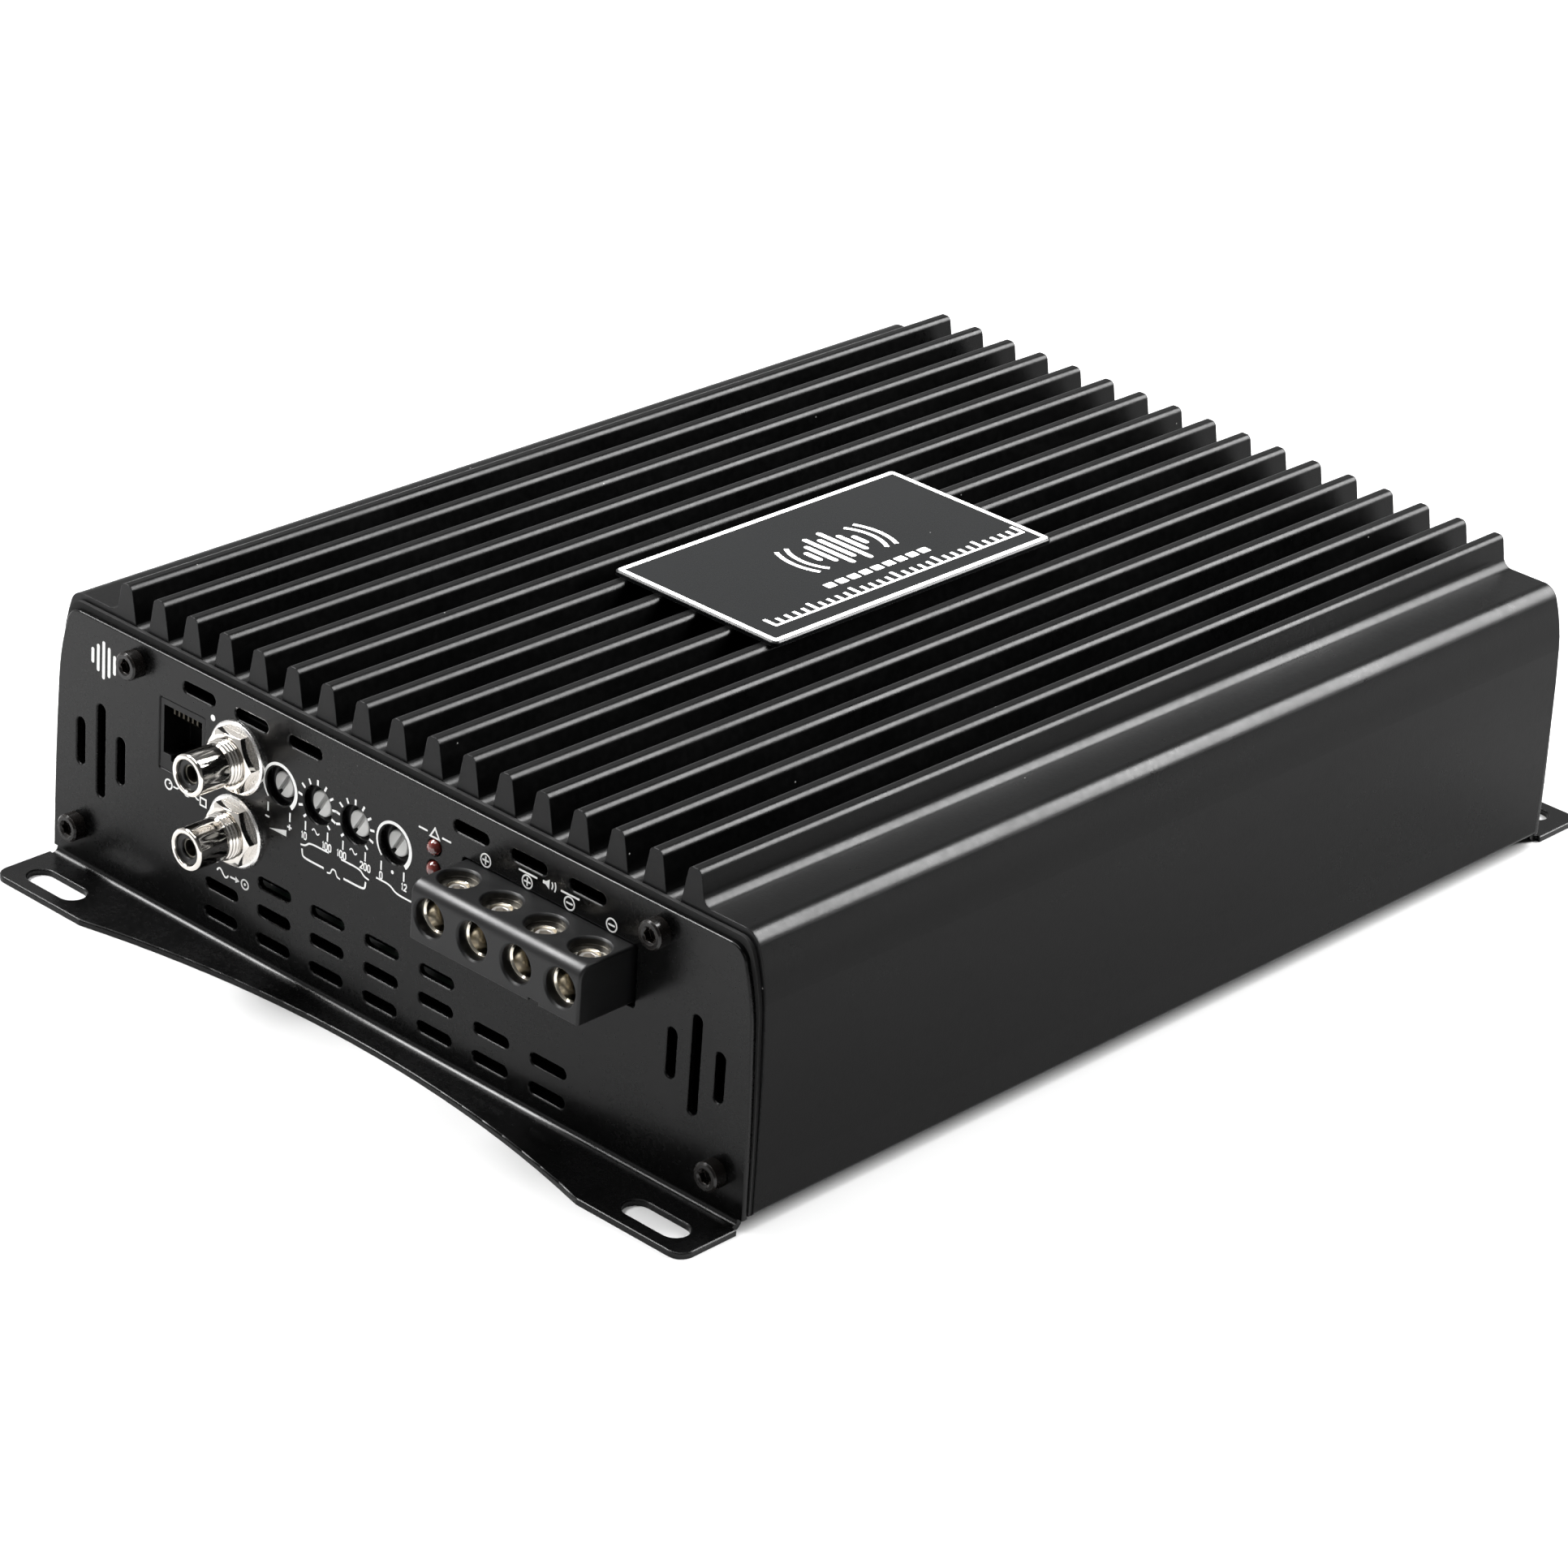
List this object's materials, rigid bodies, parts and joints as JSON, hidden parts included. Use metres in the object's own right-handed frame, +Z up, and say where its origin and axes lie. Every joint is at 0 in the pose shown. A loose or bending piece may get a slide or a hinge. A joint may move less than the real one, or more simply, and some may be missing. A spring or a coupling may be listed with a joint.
{
  "type": "car amplifier",
  "caption": "Finned black car audio amplifier with folded end plates, slotted feet, phono inputs, trimmers, remote port and screw terminals.",
  "frame": {"origin": "centre of the footprint, on the plane of the feet's undersides", "axes": "+X to the right of someone facing the control panel, +Y from the control panel to the supply end, +Z up through the fins"},
  "size_m": [0.1838, 0.2608, 0.0635],
  "materials": {
    "anodised_black": "fine-grained satin black coat on extruded aluminium",
    "coated_steel": "fine-textured satin black powder coat",
    "black_rubber": "matt",
    "black_screw": "black oxide, satin",
    "zinc_steel": "zinc plated",
    "badge_aluminium": "black face with a white printed border and emblem",
    "nickel_plate": "bright nickel",
    "tinned_brass": "tinned",
    "black_plastic": "moulded, fine spark texture",
    "rotor_plastic": "pale grey moulding",
    "led_epoxy": "tinted clear epoxy",
    "circuit_board": "green solder mask on glass epoxy",
    "terminal_brass": "nickel-washed brass",
    "terminal_screw": "plated steel",
    "ferrite": "sintered, painted",
    "copper_winding": "enamelled copper wire",
    "capacitor_sleeve": "shrunk sleeve over an aluminium can",
    "package_epoxy": "moulded epoxy",
    "silicone_pad": "matt"
  },
  "bodies": {
    "chassis": {"heatsink_housing": "anodised_black", "front_end_plate": "coated_steel", "rear_end_plate": "coated_steel", "front_gasket": "black_rubber", "rear_gasket": "black_rubber", "bottom_cover": "coated_steel", "end_plate_screws": "black_screw", "bottom_cover_screws": "black_screw", "board_screws": "zinc_steel", "clamp_screws": "zinc_steel", "badge_plate": "badge_aluminium", "rca_shells": "nickel_plate", "rca_nuts": "nickel_plate", "rca_washers": "nickel_plate", "rca_insulators": "black_plastic", "rca_contacts": "tinned_brass", "rca_socket_body": "black_plastic", "remote_port_housing": "black_plastic", "remote_port_contacts": "tinned_brass", "pot_bodies": "black_plastic", "protect_led": "led_epoxy", "power_led": "led_epoxy", "control_board": "circuit_board", "main_circuit_board": "circuit_board", "driver_board": "circuit_board", "speaker_terminal_block": "black_plastic", "power_terminal_block": "black_plastic", "speaker_terminal_sockets": "terminal_brass", "power_terminal_sockets": "terminal_brass", "power_transformer_core": "ferrite", "output_inductor_core": "ferrite", "power_transformer_winding": "copper_winding", "output_inductor_winding": "copper_winding", "input_capacitors": "capacitor_sleeve", "rail_capacitors": "capacitor_sleeve", "power_transistors": "package_epoxy", "insulating_strips": "silicone_pad", "clamp_bars": "zinc_steel"},
    "gain_rotor": {"gain_rotor": "rotor_plastic"},
    "high_pass_rotor": {"high_pass_rotor": "rotor_plastic"},
    "low_pass_rotor": {"low_pass_rotor": "rotor_plastic"},
    "bass_boost_rotor": {"bass_boost_rotor": "rotor_plastic"},
    "speaker_pad_1": {"speaker_pad_1": "terminal_brass"},
    "speaker_pad_2": {"speaker_pad_2": "terminal_brass"},
    "speaker_pad_3": {"speaker_pad_3": "terminal_brass"},
    "speaker_pad_4": {"speaker_pad_4": "terminal_brass"},
    "speaker_screw_1": {"speaker_screw_1": "terminal_screw"},
    "speaker_screw_2": {"speaker_screw_2": "terminal_screw"},
    "speaker_screw_3": {"speaker_screw_3": "terminal_screw"},
    "speaker_screw_4": {"speaker_screw_4": "terminal_screw"},
    "power_pad_1": {"power_pad_1": "terminal_brass"},
    "power_pad_2": {"power_pad_2": "terminal_brass"},
    "power_pad_3": {"power_pad_3": "terminal_brass"},
    "power_screw_1": {"power_screw_1": "terminal_screw"},
    "power_screw_2": {"power_screw_2": "terminal_screw"},
    "power_screw_3": {"power_screw_3": "terminal_screw"}
  },
  "joints": [
    {"name": "gain_turn", "type": "hinge", "parent": "chassis", "child": "gain_rotor", "pos_m": [-0.028, -0.1145, 0.0391], "axis": [0, 1, 0], "range_deg": [-168, 102]},
    {"name": "high_pass_turn", "type": "hinge", "parent": "chassis", "child": "high_pass_rotor", "pos_m": [-0.0179, -0.1145, 0.0391], "axis": [0, 1, 0], "range_deg": [-168, 102]},
    {"name": "low_pass_turn", "type": "hinge", "parent": "chassis", "child": "low_pass_rotor", "pos_m": [-0.0079, -0.1145, 0.0391], "axis": [0, 1, 0], "range_deg": [-168, 102]},
    {"name": "bass_boost_turn", "type": "hinge", "parent": "chassis", "child": "bass_boost_rotor", "pos_m": [0.0022, -0.1145, 0.0391], "axis": [0, 1, 0], "range_deg": [-168, 102]},
    {"name": "speaker_clamp_slide_1", "type": "slide", "parent": "chassis", "child": "speaker_pad_1", "axis": [0, 0, -1], "range_m": [-0.00175, 0.00105]},
    {"name": "speaker_screw_turn_1", "type": "hinge", "parent": "speaker_pad_1", "child": "speaker_screw_1", "pos_m": [0.0252, -0.1217, 0.0419], "axis": [0, 0, -1], "range_deg": [-901, 541]},
    {"name": "speaker_clamp_slide_2", "type": "slide", "parent": "chassis", "child": "speaker_pad_2", "axis": [0, 0, -1], "range_m": [-0.00175, 0.00105]},
    {"name": "speaker_screw_turn_2", "type": "hinge", "parent": "speaker_pad_2", "child": "speaker_screw_2", "pos_m": [0.036, -0.1217, 0.0419], "axis": [0, 0, -1], "range_deg": [-901, 541]},
    {"name": "speaker_clamp_slide_3", "type": "slide", "parent": "chassis", "child": "speaker_pad_3", "axis": [0, 0, -1], "range_m": [-0.00175, 0.00105]},
    {"name": "speaker_screw_turn_3", "type": "hinge", "parent": "speaker_pad_3", "child": "speaker_screw_3", "pos_m": [0.0468, -0.1217, 0.0419], "axis": [0, 0, -1], "range_deg": [-901, 541]},
    {"name": "speaker_clamp_slide_4", "type": "slide", "parent": "chassis", "child": "speaker_pad_4", "axis": [0, 0, -1], "range_m": [-0.00175, 0.00105]},
    {"name": "speaker_screw_turn_4", "type": "hinge", "parent": "speaker_pad_4", "child": "speaker_screw_4", "pos_m": [0.0576, -0.1217, 0.0419], "axis": [0, 0, -1], "range_deg": [-901, 541]},
    {"name": "power_clamp_slide_1", "type": "slide", "parent": "chassis", "child": "power_pad_1", "axis": [0, 0, -1], "range_m": [0, 0.00625]},
    {"name": "power_screw_turn_1", "type": "hinge", "parent": "power_pad_1", "child": "power_screw_1", "pos_m": [-0.0136, 0.1217, 0.0457], "axis": [0, 0, -1], "range_deg": [0, 1801]},
    {"name": "power_clamp_slide_2", "type": "slide", "parent": "chassis", "child": "power_pad_2", "axis": [0, 0, -1], "range_m": [0, 0.0028]},
    {"name": "power_screw_turn_2", "type": "hinge", "parent": "power_pad_2", "child": "power_screw_2", "pos_m": [0, 0.1217, 0.0457], "axis": [0, 0, -1], "range_deg": [0, 1441]},
    {"name": "power_clamp_slide_3", "type": "slide", "parent": "chassis", "child": "power_pad_3", "axis": [0, 0, -1], "range_m": [0, 0.00625]},
    {"name": "power_screw_turn_3", "type": "hinge", "parent": "power_pad_3", "child": "power_screw_3", "pos_m": [0.0136, 0.1217, 0.0457], "axis": [0, 0, -1], "range_deg": [0, 1801]}
  ],
  "couplings": [
    {"joint": "speaker_screw_turn_1", "follows": "speaker_clamp_slide_1", "rad_per_m": 8976},
    {"joint": "speaker_screw_turn_2", "follows": "speaker_clamp_slide_2", "rad_per_m": 8976},
    {"joint": "speaker_screw_turn_3", "follows": "speaker_clamp_slide_3", "rad_per_m": 8976},
    {"joint": "speaker_screw_turn_4", "follows": "speaker_clamp_slide_4", "rad_per_m": 8976},
    {"joint": "power_screw_turn_1", "follows": "power_clamp_slide_1", "rad_per_m": 5026.5},
    {"joint": "power_screw_turn_2", "follows": "power_clamp_slide_2", "rad_per_m": 8976},
    {"joint": "power_screw_turn_3", "follows": "power_clamp_slide_3", "rad_per_m": 5026.5}
  ]
}
